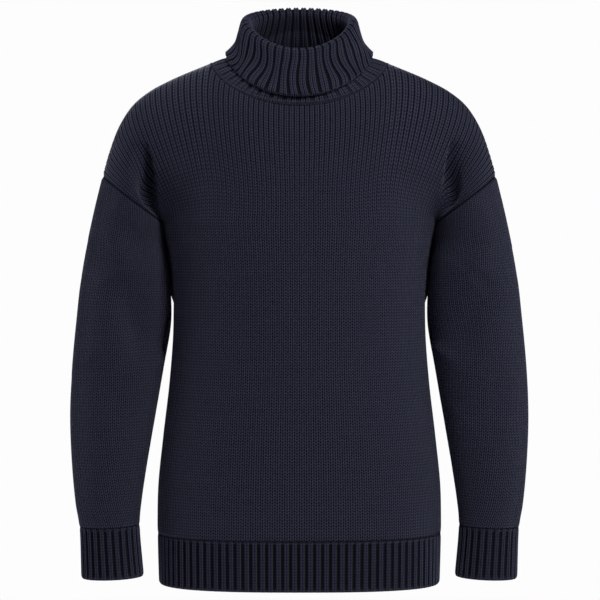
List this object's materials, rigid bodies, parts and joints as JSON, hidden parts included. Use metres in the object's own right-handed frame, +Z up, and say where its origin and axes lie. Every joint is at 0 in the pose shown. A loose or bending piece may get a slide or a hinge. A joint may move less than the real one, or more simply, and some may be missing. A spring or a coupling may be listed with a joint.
{
  "type": "submariner sweater",
  "caption": "Chunky knitted sweater with a folded roll neck, drop shoulders, ribbed cuffs and a ribbed hem, filled out as worn and hollow inside.",
  "frame": {"origin": "midway between the tops of the shoulders at the neck, where the wearer's shoulders carry the sweater", "axes": "+Z up the body, -Y out of the front, +X to the wearer's left"},
  "size_m": [0.616, 0.2468, 0.7779],
  "materials": {
    "plain_knit": "dark navy plain-knit wool, matt with a soft nap",
    "rib_knit": "dark navy two-by-two rib in the same wool"
  },
  "bodies": {
    "root": {"front": "plain_knit", "back": "plain_knit", "sleeve_left": "plain_knit", "sleeve_right": "plain_knit", "cuff_left": "rib_knit", "cuff_right": "rib_knit", "hem_rib_front": "rib_knit", "hem_rib_back": "rib_knit", "collar": "rib_knit"}
  },
  "joints": []
}
